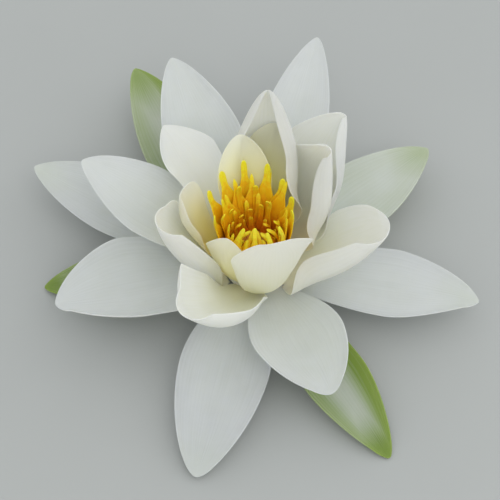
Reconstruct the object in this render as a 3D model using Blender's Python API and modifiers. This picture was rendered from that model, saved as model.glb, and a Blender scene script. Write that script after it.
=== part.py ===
"""A water lily flower, picked and set down: cut stalk, ovary, sepals, petals and stamens.

The flower stands on its cut stalk, +Z up, in metres. Its four sepals lie lowest, four outer
petals cross them, and each whorl inside stands steeper, up to the cup round the stamens.
Run with: blender --background --python part.py
"""

from dataclasses import dataclass
from math import cos, pi, radians, sin

import bmesh
import bpy
import numpy as np
from mathutils import Vector

MM = 0.001

# Driving dimensions, in millimetres
CLEARANCE = 0.35  # left between neighbouring pieces
FLOWER_AXIS = (0.9, -2.6)  # of the stalk, with the flower's extent centred on the origin
STALK_RADIUS = 5.0
STALK_HEIGHT = 5.0
OVARY_FOOT_RADIUS = 5.6
OVARY_RADIUS = 8.4
OVARY_RIM_RADIUS = 5.0
OVARY_WIDEST = 10.0
OVARY_TOP = 17.0
STIGMA_DISH = 1.5
KNOB_RADIUS = 1.4
KNOB_HEIGHT = 1.2
TURNED_STEPS = 32  # sides of the pieces turned on the flower's axis
MIDLINE_STEPS = 60
SECTION_STEPS = 80
ROW_CROWDING = 1.25  # how far a blade's rows gather at its tip; 1 spaces them evenly
LAST_ROW = 0.992  # share of the length where the blade is closed
EDGE_BREAK = 0.3  # chamfer of the stalk's cut end, mm
SHARP_EDGE = radians(40.0)
PLANT_ROUGHNESS = 0.5
PLANT_METALLIC = 0.0


@dataclass(frozen=True)
class Whorl:
    """A ring of blades on the ovary: how they are attached, how thick and how coloured."""

    height: float  # of the feet above the ground, mm
    foot_share: float  # foot width as a share of the blade's greatest width
    foot_cup: float  # half-angle of the foot's cross-section, degrees
    thickness: float  # mm
    tip_width: float  # mm
    rows: int
    columns: int
    colour: tuple


@dataclass(frozen=True)
class Blade:
    """One sepal, petal or stamen: a bowed, cupped strip that starts on the ovary's side."""

    name: str
    azimuth: float  # of the midline at the foot, degrees anticlockwise from +X
    length: float  # along the midline, mm
    width: float  # greatest width, round the curve, mm
    rise: float  # slope of the midline at the foot, degrees above level
    lift: float  # slope at the tip
    cup: float  # half-angle of the cross-section's arc at mid-length, degrees
    hood: float  # the same near the tip
    roll: float = 0.0  # turn about the midline, right margin up, degrees
    sway: float = 0.0  # turn of the midline's azimuth from foot to tip, degrees
    bend: float = 1.0  # 1 bows evenly; above 1 the bow gathers at the tip
    belly: float = 0.55  # where the blade is widest, as a share of its length
    point: float = 0.45  # 0 for a round tip, 1 for a sharp one
    curl: tuple = (0.0, 0.0)  # extra turn of the left and right margins, degrees
    seat: float = 0.0  # how far its foot stands above its whorl's height, mm
    foot: float = 1.0  # how broad its foot is, against the others of its whorl


STALK_GREEN = (0.24, 0.20, 0.08, 1.0)
OVARY_GOLD = (0.75, 0.52, 0.10, 1.0)
SEPAL_GREEN = (0.30, 0.42, 0.16, 1.0)
PETAL_WHITE = (0.86, 0.87, 0.84, 1.0)
PETAL_CREAM = (0.86, 0.83, 0.62, 1.0)
STAMEN_YELLOW = (0.90, 0.66, 0.03, 1.0)

SEPALS = Whorl(6.0, 0.38, 8.0, 0.9, 0.8, 10, 6, SEPAL_GREEN)
OUTER = Whorl(7.5, 0.38, 10.0, 0.8, 0.8, 10, 6, PETAL_WHITE)
SECOND = Whorl(9.0, 0.32, 14.0, 0.8, 0.8, 10, 6, PETAL_WHITE)
THIRD = Whorl(10.6, 0.28, 18.0, 0.8, 0.8, 10, 6, PETAL_WHITE)
INNER = Whorl(12.2, 0.28, 20.0, 0.7, 0.8, 10, 6, PETAL_CREAM)
OUTER_STAMENS = Whorl(14.3, 0.85, 20.0, 0.5, 0.7, 6, 2, STAMEN_YELLOW)
MIDDLE_STAMENS = Whorl(15.4, 0.9, 20.0, 0.5, 0.6, 5, 2, STAMEN_YELLOW)
INNER_STAMENS = Whorl(16.3, 0.9, 20.0, 0.5, 0.6, 4, 2, STAMEN_YELLOW)

BLADES = {
    SEPALS: (
        Blade("sepal_rear_left", 118, 66.5, 22, -3, 18, 30, 30, bend=1.3),
        Blade("sepal_rear_right", 38, 54, 22, 0, 10, 25, 30),
        Blade("sepal_front_right", -57.5, 57, 18, -4, -7, 25, 35),
        Blade("sepal_left", -178, 50, 18, -4, -7.8, 25, 30),
    ),
    OUTER: (
        Blade("outer_petal_left", 153, 60, 22, 3, 4, 20, 25),
        Blade("outer_petal_rear", 75, 62, 19, 12, 22, 25, 35),
        Blade("outer_petal_right", -11, 52, 22, 2, 0, 25, 45),
        Blade("outer_petal_front", -104, 54, 24, 0, -12, 20, 25, belly=0.45, point=0.3),
    ),
    SECOND: (
        Blade("second_petal_rear_left", 113, 54, 22, 18, 28, 25, 30),
        Blade("second_petal_left", -162, 46, 30, 8, 8, 35, 35, curl=(30, 0), foot=0.7),
        Blade("second_petal_front_right", -67.5, 42, 25, 10, 18, 30, 30, belly=0.5, point=0.3),
        Blade("second_petal_rear_right", 47.2, 40.8, 28.2, 30.7, 60.4, 33.5, 99.6, roll=4.6,
              sway=6, bend=0.7, curl=(-35.2, 59.6), point=0.01, belly=0.43, seat=-0.03, foot=0.91),
    ),
    THIRD: (
        Blade("third_petal_left", 157, 45, 22, 20, 30, 25, 30, seat=-0.6),
        Blade("third_petal_rear_left", 124.4, 35.8, 18.3, 23.5, 39.4, 68.3, 27.3, roll=-0.3,
              sway=10.7, bend=1.09, curl=(-0.2, -19.6), point=0.59, belly=0.69, seat=0.27,
              foot=0.82),
        Blade("third_petal_rear", 75.2, 40, 31.3, 46.5, 65.1, 60.8, 100, roll=19.6, sway=26.1,
              bend=0.98, curl=(74.3, 73.2), point=0.01, belly=0.43, seat=0.88, foot=0.79),
        Blade("third_petal_rear_right", 37.1, 36, 30.7, 25.2, 94, 52.7, 94.4, roll=8.9, sway=-4.5,
              bend=0.78, curl=(-27.1, 72.8), point=0.11, belly=0.47, seat=-0.13, foot=0.8),
        Blade("third_petal_right", -15.9, 38.2, 33, 12.6, 68.7, 69, 62.4, roll=12.9, sway=7.2,
              bend=0.71, curl=(-17.4, 74.3), point=0.08, belly=0.44, seat=-1.86, foot=0.6),
        Blade("third_petal_front", -103, 47.5, 30.8, 34.7, 64.2, 80, 78.2, roll=0.4, sway=-34.2,
              bend=1.96, curl=(10.6, -4.5), point=0.53, belly=0.79, seat=0.1, foot=0.49),
        Blade("third_petal_front_left", -159.9, 34.9, 28.2, 25.5, 82.5, 61.9, 72.4, roll=-6.7,
              sway=-5.2, bend=0.68, curl=(42, 3), point=0.11, belly=0.6, seat=-0.04, foot=0.9),
    ),
    INNER: (
        Blade("inner_petal_rear", 101.2, 28.1, 15, 68.6, 57.2, 36.1, 34.7, roll=2.9, sway=-1.1,
              bend=1.04, curl=(-5.3, -3), point=0.36, belly=0.56, seat=1.35),
        Blade("inner_petal_rear_right", 81.2, 30.4, 15.7, 61.5, 49.5, 39.1, 34.2, roll=6.2,
              sway=-9.1, curl=(1, 26), point=0.21, belly=0.6, seat=0.28),
        Blade("inner_petal_left", 167.5, 26, 16.4, 40.8, 88.3, 40, 18.5, roll=-6.9, sway=-13.6,
              curl=(73.7, -22.2), point=0.17, belly=0.73, seat=-0.72, foot=0.89),
        Blade("inner_petal_front_left", -121.6, 26, 16, 52.8, 104.1, 45.3, 11.1, roll=3.3,
              sway=11.5, bend=0.94, curl=(-11, -5.1), point=0.34, seat=0.54, foot=0.76),
        Blade("inner_petal_front", -73.3, 39.7, 24.2, 40.6, 101.4, 61.2, 34.4, roll=-15.5,
              sway=-14.2, bend=0.91, curl=(-16.8, 18.2), point=0.16, belly=0.76, seat=-0.79,
              foot=0.67),
    ),
    OUTER_STAMENS: (
        Blade("outer_stamen_1", 151, 19.5, 3.8, 76, 61, 20, 20),
        Blade("outer_stamen_2", 126, 21, 4.0, 75, 58, 20, 20),
        Blade("outer_stamen_3", 101, 21.5, 3.2, 70, 59, 20, 20),
        Blade("outer_stamen_4", 77, 21.3, 3.2, 72, 63, 20, 20),
        Blade("outer_stamen_5", 55, 18.5, 3.6, 75, 62, 20, 20, sway=10),
        Blade("outer_stamen_6", 31, 16.7, 3.6, 78, 68, 20, 20, sway=20),
        Blade("outer_stamen_7", 8, 17, 3.6, 84, 76, 20, 20, sway=20),
        Blade("outer_stamen_8", -18, 15, 3.8, 88, 96, 20, 20),
        Blade("outer_stamen_9", -50, 15, 3.6, 92, 106, 20, 20),
        Blade("outer_stamen_10", -91, 15.5, 3.6, 95, 130, 20, 20),
        Blade("outer_stamen_11", -140, 15.5, 3.6, 90, 116, 20, 20),
        Blade("outer_stamen_12", 178, 16.5, 4.0, 80, 75, 20, 20),
    ),
    MIDDLE_STAMENS: (
        Blade("middle_stamen_1", 163, 13.4, 2.4, 80, 76, 20, 20),
        Blade("middle_stamen_2", 138, 11.5, 2.4, 80, 76, 20, 20),
        Blade("middle_stamen_3", 113, 16, 2.4, 74, 66, 20, 20),
        Blade("middle_stamen_4", 89, 15.5, 2.4, 70, 70, 20, 20),
        Blade("middle_stamen_5", 66, 12.2, 2.4, 80, 76, 20, 20),
        Blade("middle_stamen_6", 22, 11, 2.4, 90, 95, 20, 20),
        Blade("middle_stamen_7", -4, 11.3, 2.4, 94, 116, 20, 20),
        Blade("middle_stamen_8", -34, 11.6, 2.4, 96, 130, 20, 20),
        Blade("middle_stamen_9", -69, 13, 2.4, 98, 136, 20, 20),
        Blade("middle_stamen_10", -114, 13.5, 2.4, 98, 138, 20, 20),
        Blade("middle_stamen_11", -160, 12, 2.4, 98, 134, 20, 20),
    ),
    INNER_STAMENS: (
        Blade("inner_stamen_1", 150, 8.5, 2.0, 92, 104, 20, 20),
        Blade("inner_stamen_2", 126, 9, 2.0, 86, 90, 20, 20),
        Blade("inner_stamen_3", 101, 9, 2.0, 82, 80, 20, 20),
        Blade("inner_stamen_4", 78, 10, 2.0, 80, 74, 20, 20),
        Blade("inner_stamen_5", 45, 8.5, 2.0, 100, 110, 20, 20),
        Blade("inner_stamen_6", 9, 7.5, 2.0, 108, 130, 20, 20),
        Blade("inner_stamen_7", -50, 7.5, 2.0, 108, 130, 20, 20),
        Blade("inner_stamen_8", -92, 7.5, 2.0, 108, 130, 20, 20),
        Blade("inner_stamen_9", -137, 7.5, 2.0, 108, 130, 20, 20),
    ),
}


def eased(share):
    """0 to 1 with a level start and end."""
    share = np.clip(share, 0.0, 1.0)
    return share * share * (3.0 - 2.0 * share)


def ovary_radius(height):
    """The ovary's radius at a height above the ground, in millimetres."""
    if height < OVARY_WIDEST:
        share = (height - STALK_HEIGHT) / (OVARY_WIDEST - STALK_HEIGHT)
        return OVARY_FOOT_RADIUS + (OVARY_RADIUS - OVARY_FOOT_RADIUS) * sin(0.5 * pi * share)
    share = (height - OVARY_WIDEST) / (OVARY_TOP - OVARY_WIDEST)
    return OVARY_RIM_RADIUS + (OVARY_RADIUS - OVARY_RIM_RADIUS) * cos(0.5 * pi * share**1.4)


def outline(blade, whorl, share):
    """The blade's width at a share of its length, in millimetres."""
    if share < blade.belly:
        foot = whorl.foot_share * blade.foot
        return blade.width * (foot + (1.0 - foot) * sin(0.5 * pi * share / blade.belly))
    after = (share - blade.belly) / (1.0 - blade.belly)
    closing = (1.0 - after ** (2.0 - blade.point)) ** (0.5 + 0.5 * blade.point)
    return max(blade.width * closing, whorl.tip_width)


def cross_section(blade, whorl, share, sides):
    """One row of the blade, bent into an arc that opens towards the flower's middle.

    sides run from -1, the left margin seen from the foot, to 1, the right margin. Returns
    how far across and how far up each of them stands, in millimetres.
    """
    cup = whorl.foot_cup + (blade.cup - whorl.foot_cup) * eased(share / 0.4)
    cup += (blade.hood - blade.cup) * eased((share - 0.55) / 0.45)
    fine = np.linspace(-1.0, 1.0, SECTION_STEPS + 1)
    turn = np.radians(cup) * fine
    shown = eased((share - 0.15) / 0.4)
    turn -= radians(blade.curl[0]) * shown * eased((-fine - 0.4) / 0.6)
    turn += radians(blade.curl[1]) * shown * eased((fine - 0.4) / 0.6)
    step = fine[1] - fine[0]
    across = np.concatenate([[0], np.cumsum(0.5 * step * (np.cos(turn[1:]) + np.cos(turn[:-1])))])
    up = np.concatenate([[0], np.cumsum(0.5 * step * (np.sin(turn[1:]) + np.sin(turn[:-1])))])
    half = 0.5 * outline(blade, whorl, share)
    across = half * np.interp(sides, fine, across - across[len(fine) // 2])
    return across, half * np.interp(sides, fine, up - up[len(fine) // 2])


def blade_points(blade, whorl, shares, sides):
    """Points of the blade's middle surface in millimetres, one row for each share of its length."""
    fine = np.linspace(0.0, 1.0, MIDLINE_STEPS + 1)
    pitch = np.radians(blade.rise + (blade.lift - blade.rise) * fine**blade.bend)
    heading = np.radians(blade.azimuth + blade.sway * fine)
    level = np.cos(pitch)
    along = np.stack([level * np.cos(heading), level * np.sin(heading), np.sin(pitch)], 1)
    height = whorl.height + blade.seat
    start = ovary_radius(height) + CLEARANCE + 0.5 * whorl.thickness
    angle = radians(blade.azimuth)
    foot = np.array([start * cos(angle), start * sin(angle), height])
    steps = 0.5 * (along[1:] + along[:-1]) * blade.length / MIDLINE_STEPS
    line = np.vstack([foot, foot + np.cumsum(steps, 0)])

    rows = []
    for share in shares:
        centre = np.array([np.interp(share, fine, line[:, axis]) for axis in range(3)])
        slope = np.interp(share, fine, pitch)
        turn = np.interp(share, fine, heading)
        ahead = np.array([cos(slope) * cos(turn), cos(slope) * sin(turn), sin(slope)])
        flat = np.array([sin(turn), -cos(turn), 0.0])
        above = np.cross(flat, ahead)
        roll = radians(blade.roll) * eased(share / 0.4)
        right = flat * cos(roll) + above * sin(roll)
        inner = above * cos(roll) - flat * sin(roll)
        across, up = cross_section(blade, whorl, share, sides)
        rows.append(centre + np.outer(across, right) + np.outer(up, inner))
    return np.array(rows)


def principled(name, colour):
    """A plain material of one colour, as matt as plant tissue."""
    material = bpy.data.materials.new(name)
    material.use_nodes = True
    shader = material.node_tree.nodes["Principled BSDF"]
    shader.inputs["Base Color"].default_value = colour
    shader.inputs["Roughness"].default_value = PLANT_ROUGHNESS
    shader.inputs["Metallic"].default_value = PLANT_METALLIC
    return material


def add_object(name, mesh, colour, flower):
    """Puts a mesh in the flower's collection, with a material of its own."""
    mesh.materials.append(principled(name + "_colour", colour))
    piece = bpy.data.objects.new(name, mesh)
    flower.objects.link(piece)
    return piece


def add_blade(blade, whorl, flower):
    """A sepal, petal or stamen: a grid laid on the blade's surface, thickened to a shell."""
    shares = 1.0 - (1.0 - np.linspace(0.0, 1.0, whorl.rows + 1)) ** ROW_CROWDING
    shares[-1] = LAST_ROW
    sides = np.linspace(-1.0, 1.0, whorl.columns + 1)
    points = blade_points(blade, whorl, shares, sides) * MM
    shape = bmesh.new()
    bmesh.ops.create_grid(shape, x_segments=whorl.columns, y_segments=whorl.rows, size=1.0)
    for vertex in shape.verts:
        column = round((vertex.co.x + 1.0) / 2.0 * whorl.columns)
        row = round((vertex.co.y + 1.0) / 2.0 * whorl.rows)
        vertex.co = Vector(points[row, column])
    mesh = bpy.data.meshes.new(blade.name)
    shape.to_mesh(mesh)
    shape.free()
    piece = add_object(blade.name, mesh, whorl.colour, flower)
    shell = piece.modifiers.new("thickness", "SOLIDIFY")
    shell.thickness = whorl.thickness * MM
    shell.offset = 0.0
    return piece


def add_turned(name, profile, colour, flower):
    """A piece turned round the flower's axis from (radius, height) points in millimetres."""
    mesh = bpy.data.meshes.new(name)
    corners = [(radius * MM, 0.0, height * MM) for radius, height in reversed(profile)]
    edges = [(index, index + 1) for index in range(len(corners) - 1)]
    mesh.from_pydata(corners, edges, [])
    piece = add_object(name, mesh, colour, flower)
    turn = piece.modifiers.new("turn", "SCREW")
    turn.steps = TURNED_STEPS
    turn.render_steps = TURNED_STEPS
    turn.use_merge_vertices = True
    turn.merge_threshold = 0.01 * MM
    return piece


def add_stalk(flower):
    """The stump of the stalk, cut square, with its edges just broken."""
    profile = (
        (0.0, 0.0),
        (STALK_RADIUS - EDGE_BREAK, 0.0),
        (STALK_RADIUS, EDGE_BREAK),
        (STALK_RADIUS, STALK_HEIGHT - CLEARANCE),
        (0.0, STALK_HEIGHT - CLEARANCE),
    )
    return add_turned("cut_stalk", profile, STALK_GREEN, flower)


def add_ovary(flower):
    """The ovary the blades stand on, topped by the dished stigma and its knob."""
    heights = np.linspace(STALK_HEIGHT, OVARY_TOP, 9)
    profile = [(0.0, STALK_HEIGHT)]
    profile += [(ovary_radius(height), height) for height in heights]
    profile += [
        (0.85 * OVARY_RIM_RADIUS, OVARY_TOP - 0.1 * STIGMA_DISH),
        (0.6 * OVARY_RIM_RADIUS, OVARY_TOP - 0.6 * STIGMA_DISH),
        (KNOB_RADIUS, OVARY_TOP - STIGMA_DISH),
        (0.85 * KNOB_RADIUS, OVARY_TOP - STIGMA_DISH + 0.7 * KNOB_HEIGHT),
        (0.0, OVARY_TOP - STIGMA_DISH + KNOB_HEIGHT),
    ]
    return add_turned("ovary", profile, OVARY_GOLD, flower)


def shade(pieces):
    """Makes each piece a plain mesh, shaded smooth except across its sharp edges."""
    graph = bpy.context.evaluated_depsgraph_get()
    meshes = [bpy.data.meshes.new_from_object(piece.evaluated_get(graph)) for piece in pieces]
    for piece, mesh in zip(pieces, meshes):
        piece.modifiers.clear()
        piece.data = mesh
        mesh.shade_smooth()
        mesh.set_sharp_from_angle(angle=SHARP_EDGE)


def main():
    """Clears the scene and builds the flower."""
    for obj in list(bpy.data.objects):
        bpy.data.objects.remove(obj)
    flower = bpy.data.collections.new("water_lily_flower")
    bpy.context.scene.collection.children.link(flower)
    pieces = [add_stalk(flower), add_ovary(flower)]
    for whorl, blades in BLADES.items():
        pieces += [add_blade(blade, whorl, flower) for blade in blades]
    shade(pieces)
    axis = bpy.data.objects.new("flower_axis", None)
    axis.location = (FLOWER_AXIS[0] * MM, FLOWER_AXIS[1] * MM, 0.0)
    flower.objects.link(axis)
    for piece in pieces:
        piece.parent = axis


main()
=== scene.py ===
"""A white water lily flower, picked and set down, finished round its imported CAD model.

Every sepal, petal and stamen is a fine, closed blade in the place of its CAD node. Geometry
Nodes raise the petals' veins, fill the stamen cup, ray and grain the stigma and bore the air
canals of the stalk. Lengths are in millimetres until a mesh is made, and in metres after.
"""

from __future__ import annotations

import logging
from collections.abc import Callable, Sequence
from dataclasses import dataclass, replace
from enum import Enum
from math import cos, pi, radians, sin

import bpy
import numpy as np
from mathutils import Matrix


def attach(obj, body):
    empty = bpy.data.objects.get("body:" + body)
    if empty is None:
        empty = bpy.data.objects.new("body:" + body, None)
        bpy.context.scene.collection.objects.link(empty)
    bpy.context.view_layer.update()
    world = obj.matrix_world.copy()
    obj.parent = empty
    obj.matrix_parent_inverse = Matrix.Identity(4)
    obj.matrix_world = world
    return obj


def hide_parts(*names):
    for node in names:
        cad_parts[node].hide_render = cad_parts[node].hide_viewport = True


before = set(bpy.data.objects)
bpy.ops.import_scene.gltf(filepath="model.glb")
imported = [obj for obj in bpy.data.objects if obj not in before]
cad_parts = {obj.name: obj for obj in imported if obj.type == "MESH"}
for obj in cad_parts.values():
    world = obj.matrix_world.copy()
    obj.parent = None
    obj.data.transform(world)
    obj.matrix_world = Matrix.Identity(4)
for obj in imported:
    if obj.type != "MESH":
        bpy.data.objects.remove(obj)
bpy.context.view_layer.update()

MM = 0.001
FLOWER_AXIS = (0.9, -2.6)  # where the stalk stands, in mm
AXIS_PLACE = (FLOWER_AXIS[0] * MM, FLOWER_AXIS[1] * MM, 0.0)  # the same, in metres
BUMP_STRENGTH = 0.6  # of every finish
ROOT = "root"
LOG = logging.getLogger("water_lily")

Colour = tuple[float, float, float, float]


class Slot(Enum):
    """The material slots of the record."""

    STALK = "stalk"
    OVARY = "ovary"
    SEPAL = "sepal"
    PETAL = "petal"
    INNER_PETAL = "inner_petal"
    STAMEN = "stamen"


class Outline(Enum):
    """How a blade's width runs from foot to tip."""

    LEAF = "narrow foot, broad belly, closing tip"
    FINGER = "broad strap that narrows to a slender finger"


def ramp(value: np.ndarray | float, start: float, run: float) -> np.ndarray | float:
    """0 up to start, then a rise to 1 over the run, with a level start and end."""
    share = np.clip((value - start) / run, 0.0, 1.0)
    return share * share * (3.0 - 2.0 * share)


def arithmetic(operation: str, swapped: bool = False) -> Callable[[Value, object], Value]:
    """Makes the method of Value that adds a Math node for this operation."""

    def method(self: Value, other: object) -> Value:
        pair = (other, self) if swapped else (self, other)
        return self.graph.math(operation, *pair)

    return method


class Value:
    """A node's output. Arithmetic on it adds the Math nodes that work it out."""

    def __init__(self, graph: Graph, socket: bpy.types.NodeSocket) -> None:
        """Wraps an output of this graph."""
        self.graph = graph
        self.socket = socket

    __add__ = arithmetic("ADD")
    __radd__ = arithmetic("ADD", swapped=True)
    __sub__ = arithmetic("SUBTRACT")
    __rsub__ = arithmetic("SUBTRACT", swapped=True)
    __mul__ = arithmetic("MULTIPLY")
    __rmul__ = arithmetic("MULTIPLY", swapped=True)
    __truediv__ = arithmetic("DIVIDE")
    __rtruediv__ = arithmetic("DIVIDE", swapped=True)
    __pow__ = arithmetic("POWER")

    def __abs__(self) -> Value:
        """The number without its sign."""
        return self.graph.math("ABSOLUTE", self)


class Graph:
    """Adds nodes to a shader or geometry tree and links what feeds them."""

    def __init__(self, tree: bpy.types.NodeTree) -> None:
        """Works on this tree."""
        self.tree = tree

    def feed(self, socket: bpy.types.NodeSocket, value: object) -> None:
        """Links a socket to a node's output, or gives it a plain value."""
        if isinstance(value, Value):
            self.tree.links.new(value.socket, socket)
        else:
            socket.default_value = value

    def add(self, kind: str, feeds: dict | None = None, **settings: object) -> bpy.types.Node:
        """Adds one node.

        Args:
            kind: the node's type name.
            feeds: what feeds its inputs, by input name or number.
            settings: the node's own settings.

        Returns:
            The node.
        """
        node = self.tree.nodes.new(kind)
        for name, value in settings.items():
            setattr(node, name, value)
        for name, value in (feeds or {}).items():
            self.feed(node.inputs[name], value)
        return node

    def put(self, kind: str, feeds: dict | None = None, output: int | str = 0,
            **settings: object) -> Value:
        """Adds one node, as add does, and returns the output of this name or number."""
        return Value(self, self.add(kind, feeds, **settings).outputs[output])

    def math(self, operation: str, *values: object) -> Value:
        """A Math node's result on these values."""
        return self.put("ShaderNodeMath", dict(enumerate(values)), operation=operation)

    def vector(self, x: object, y: object, z: object = 0.0) -> Value:
        """A vector from three numbers."""
        return self.put("ShaderNodeCombineXYZ", {"X": x, "Y": y, "Z": z})

    def split(self, vector: Value) -> list[Value]:
        """The three numbers of a vector."""
        node = self.add("ShaderNodeSeparateXYZ", {0: vector})
        return [Value(self, output) for output in node.outputs]

    def blend(self, factor: object, first: object, second: object) -> Value:
        """A colour mix."""
        return self.put("ShaderNodeMix", {0: factor, 6: first, 7: second}, 2, data_type="RGBA")

    def span(self, value: object, low: object, high: object, least: object = 0.0,
             most: object = 1.0) -> Value:
        """Maps a value from low..high onto least..most with soft ends."""
        feeds = {"Value": value, "From Min": low, "From Max": high, "To Min": least,
                 "To Max": most}
        return self.put("ShaderNodeMapRange", feeds, interpolation_type="SMOOTHSTEP")


class ShaderGraph(Graph):
    """A new material's tree, with its Principled shader."""

    def __init__(self, name: str) -> None:
        """Makes the material."""
        self.material = bpy.data.materials.new(name)
        self.material.use_nodes = True
        super().__init__(self.material.node_tree)
        self.shader = self.tree.nodes["Principled BSDF"]

    def set(self, **values: object) -> None:
        """Feeds the shader's inputs; an underscore in a name stands for a space."""
        for name, value in values.items():
            self.feed(self.shader.inputs[name.replace("_", " ")], value)

    def attribute(self, name: str) -> Value:
        """The value of a number stored on the mesh."""
        return self.put("ShaderNodeAttribute", output="Fac", attribute_name=name)

    def place(self) -> Value:
        """The point's object coordinates."""
        return self.put("ShaderNodeTexCoord", output="Object")

    def noise(self, where: Value, scale: float, detail: float = 2.0) -> Value:
        """A noise texture's value, 0 to 1."""
        feeds = {"Vector": where, "Scale": scale, "Detail": detail}
        return self.put("ShaderNodeTexNoise", feeds, "Fac")

    def bump(self, height: Value, distance: float) -> None:
        """Gives the shader a bump from a height."""
        feeds = {"Height": height, "Distance": distance, "Strength": BUMP_STRENGTH}
        self.set(Normal=self.put("ShaderNodeBump", feeds))


class GeometryGraph(Graph):
    """A new Geometry Nodes tree with named inputs."""

    KINDS = {float: "NodeSocketFloat", int: "NodeSocketInt",
             bpy.types.Material: "NodeSocketMaterial"}

    def __init__(self, name: str, values: dict[str, object]) -> None:
        """Makes the tree.

        Args:
            name: the tree's name.
            values: the value of each named input.
        """
        super().__init__(bpy.data.node_groups.new(name, "GeometryNodeTree"))
        self.values = values
        face = self.tree.interface
        face.new_socket("Geometry", in_out="INPUT", socket_type="NodeSocketGeometry")
        face.new_socket("Geometry", in_out="OUTPUT", socket_type="NodeSocketGeometry")
        for label, value in values.items():
            kind = self.KINDS[type(value)]
            face.new_socket(label, in_out="INPUT", socket_type=kind)
        self.start = self.tree.nodes.new("NodeGroupInput").outputs
        self.end = self.tree.nodes.new("NodeGroupOutput").inputs

    def __getitem__(self, label: str) -> Value:
        """The tree's input of this name."""
        return Value(self, self.start[label])

    def stored(self, name: str) -> Value:
        """A number stored on the mesh."""
        return self.put("GeometryNodeInputNamedAttribute", {"Name": name}, "Attribute",
                        data_type="FLOAT")

    def store(self, geometry: Value, **numbers: Value) -> Value:
        """Stores numbers on a geometry's points, by name."""
        for label, value in numbers.items():
            feeds = {"Geometry": geometry, "Name": label, "Value": value}
            geometry = self.put("GeometryNodeStoreNamedAttribute", feeds, data_type="FLOAT",
                                domain="POINT")
        return geometry

    def random(self, low: object, high: object, stream: int) -> Value:
        """A random number for each point, from the tree's Seed input and a stream number."""
        feeds = {2: low, 3: high, "Seed": self["Seed"] + float(stream)}
        return self.put("FunctionNodeRandomValue", feeds, 1, data_type="FLOAT")

    def spot(self) -> list[Value]:
        """Each point's x, y and z."""
        return self.split(self.put("GeometryNodeInputPosition"))

    def tube(self, vertices: int, segments: int, radius: object, depth: object = 1.0) -> Value:
        """A closed cylinder round Z, centred on the origin."""
        feeds = {"Vertices": vertices, "Side Segments": segments, "Radius": radius,
                 "Depth": depth}
        return self.put("GeometryNodeMeshCylinder", feeds, "Mesh")

    def move(self, geometry: Value, **where: Value) -> Value:
        """Gives a geometry's points a new Position or an Offset."""
        return self.put("GeometryNodeSetPosition", {"Geometry": geometry, **where})

    def points(self, count: Value, place: object) -> Value:
        """So many points, each at its place."""
        return self.put("GeometryNodePoints", {"Count": count, "Position": place})

    def turned(self, lean: object, azimuth: Value) -> Value:
        """A rotation: a lean about Y, then an azimuth about Z."""
        return self.put("FunctionNodeEulerToRotation",
                        {"Euler": self.vector(0.0, lean, azimuth)})

    def copies(self, points: Value, geometry: Value, **how: Value) -> Value:
        """A copy of a geometry on each point, with a Rotation or a Scale."""
        return self.put("GeometryNodeInstanceOnPoints",
                        {"Points": points, "Instance": geometry, **how})

    def realized(self, geometry: Value) -> Value:
        """A geometry whose copies are meshes of their own."""
        return self.put("GeometryNodeRealizeInstances", {"Geometry": geometry})

    def close(self, geometry: Value) -> None:
        """Realizes the instances, sets the material and ends the tree."""
        smooth = self.put("GeometryNodeSetShadeSmooth", {0: self.realized(geometry)})
        dressed = self.put("GeometryNodeSetMaterial",
                           {"Geometry": smooth, "Material": self["Material"]})
        self.feed(self.end["Geometry"], dressed)

    def apply_to(self, piece: bpy.types.Object) -> None:
        """Runs the tree on a piece and leaves the result as the piece's plain mesh."""
        modifier = piece.modifiers.new(self.tree.name, "NODES")
        modifier.node_group = self.tree
        for item in self.tree.interface.items_tree:
            if item.in_out == "INPUT" and item.name in self.values:
                modifier[item.identifier] = self.values[item.name]
        piece.data.update()
        graph = bpy.context.evaluated_depsgraph_get()
        made = bpy.data.meshes.new_from_object(piece.evaluated_get(graph), depsgraph=graph)
        piece.modifiers.clear()
        piece.data = made
        made.name = piece.name

    def make(self) -> bpy.types.Object:
        """Runs the tree on a new, empty piece of the same name."""
        piece = new_piece(self.tree.name, np.zeros((1, 3)), [])
        self.apply_to(piece)
        return piece


def new_piece(name: str, points: np.ndarray, faces: Sequence[Sequence[int]],
              numbers: dict[str, np.ndarray] | None = None) -> bpy.types.Object:
    """Makes a smooth mesh object at the origin.

    Args:
        name: the piece's name.
        points: its vertices round the flower's axis, in mm.
        faces: its faces, as vertex numbers.
        numbers: numbers to store on the vertices, by name.

    Returns:
        The object.
    """
    mesh = bpy.data.meshes.new(name)
    placed = (np.asarray(points) + np.array([*FLOWER_AXIS, 0.0])) * MM
    mesh.from_pydata(placed.tolist(), [], faces)
    mesh.shade_smooth()
    for label, values in (numbers or {}).items():
        layer = mesh.attributes.new(label, "FLOAT", "POINT")
        layer.data.foreach_set("value", np.asarray(values, dtype=np.float32))
    piece = bpy.data.objects.new(name, mesh)
    bpy.context.scene.collection.objects.link(piece)
    return piece


def hand_over(piece: bpy.types.Object, nodes: Sequence[str] = ()) -> None:
    """Rides a finished piece on the root body, for these CAD nodes, and logs it."""
    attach(piece, ROOT)
    if nodes:
        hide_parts(*nodes)
    LOG.info("%s: %d faces, for %s", piece.name, len(piece.data.polygons), ", ".join(nodes))


@dataclass(frozen=True)
class Whorl:
    """A ring of blades on the ovary."""

    height: float  # of the feet above the ground
    foot_share: float  # foot width as a share of the blade's greatest width
    foot_cup: float  # half-angle of the foot's cross-section, degrees
    thickness: float  # in the middle of the foot
    margin: float  # thickness at the margins
    outline: Outline = Outline.LEAF


@dataclass(frozen=True)
class Tint:
    """How far a blade's plain colour gives way to others, 0 to 1."""

    green_left: float = 0.0  # along the left margin, seen from the foot
    green_right: float = 0.0
    green_tip: float = 0.0
    gold: float = 0.0  # yellow rising from the foot: partly the petal's own cream, partly painted glow of the stamens' light
    gold_reach: float = 0.6  # how far up the blade it rises


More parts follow.
